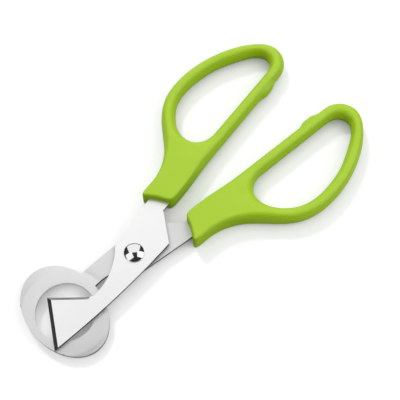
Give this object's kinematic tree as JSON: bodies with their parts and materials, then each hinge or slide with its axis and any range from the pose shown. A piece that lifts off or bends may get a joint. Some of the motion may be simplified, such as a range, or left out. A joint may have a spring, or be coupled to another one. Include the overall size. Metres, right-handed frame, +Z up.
{
  "type": "egg topper",
  "caption": "Egg-topping scissors: a pointed cutter blade slides over a dished ring blade on one rivet, with a moulded finger-loop handle on each.",
  "frame": {"origin": "middle of the footprint, on the surface that the scissors lie on", "axes": "+X from the heads to the handles along the middle line between them, +Z up from the surface, the cutter's handle on +Y"},
  "size_m": [0.1442, 0.0766, 0.0084],
  "materials": {
    "blade_steel": "finely brushed stainless sheet with ground bevels",
    "rivet_steel": "polished",
    "green_plastic": "smooth moulded lime green plastic, satin gloss"
  },
  "bodies": {
    "ring_side": {"ring_blade": "blade_steel", "ring_handle": "green_plastic", "pivot_rivet": "rivet_steel", "rivet_cap": "rivet_steel"},
    "cutter_side": {"cutter_blade": "blade_steel", "cutter_handle": "green_plastic"}
  },
  "joints": [
    {"name": "pivot", "type": "hinge", "parent": "ring_side", "child": "cutter_side", "pos_m": [-0.02751, 0, 0.0042], "axis": [0, 0, 1], "range_deg": [-12, 40]}
  ]
}
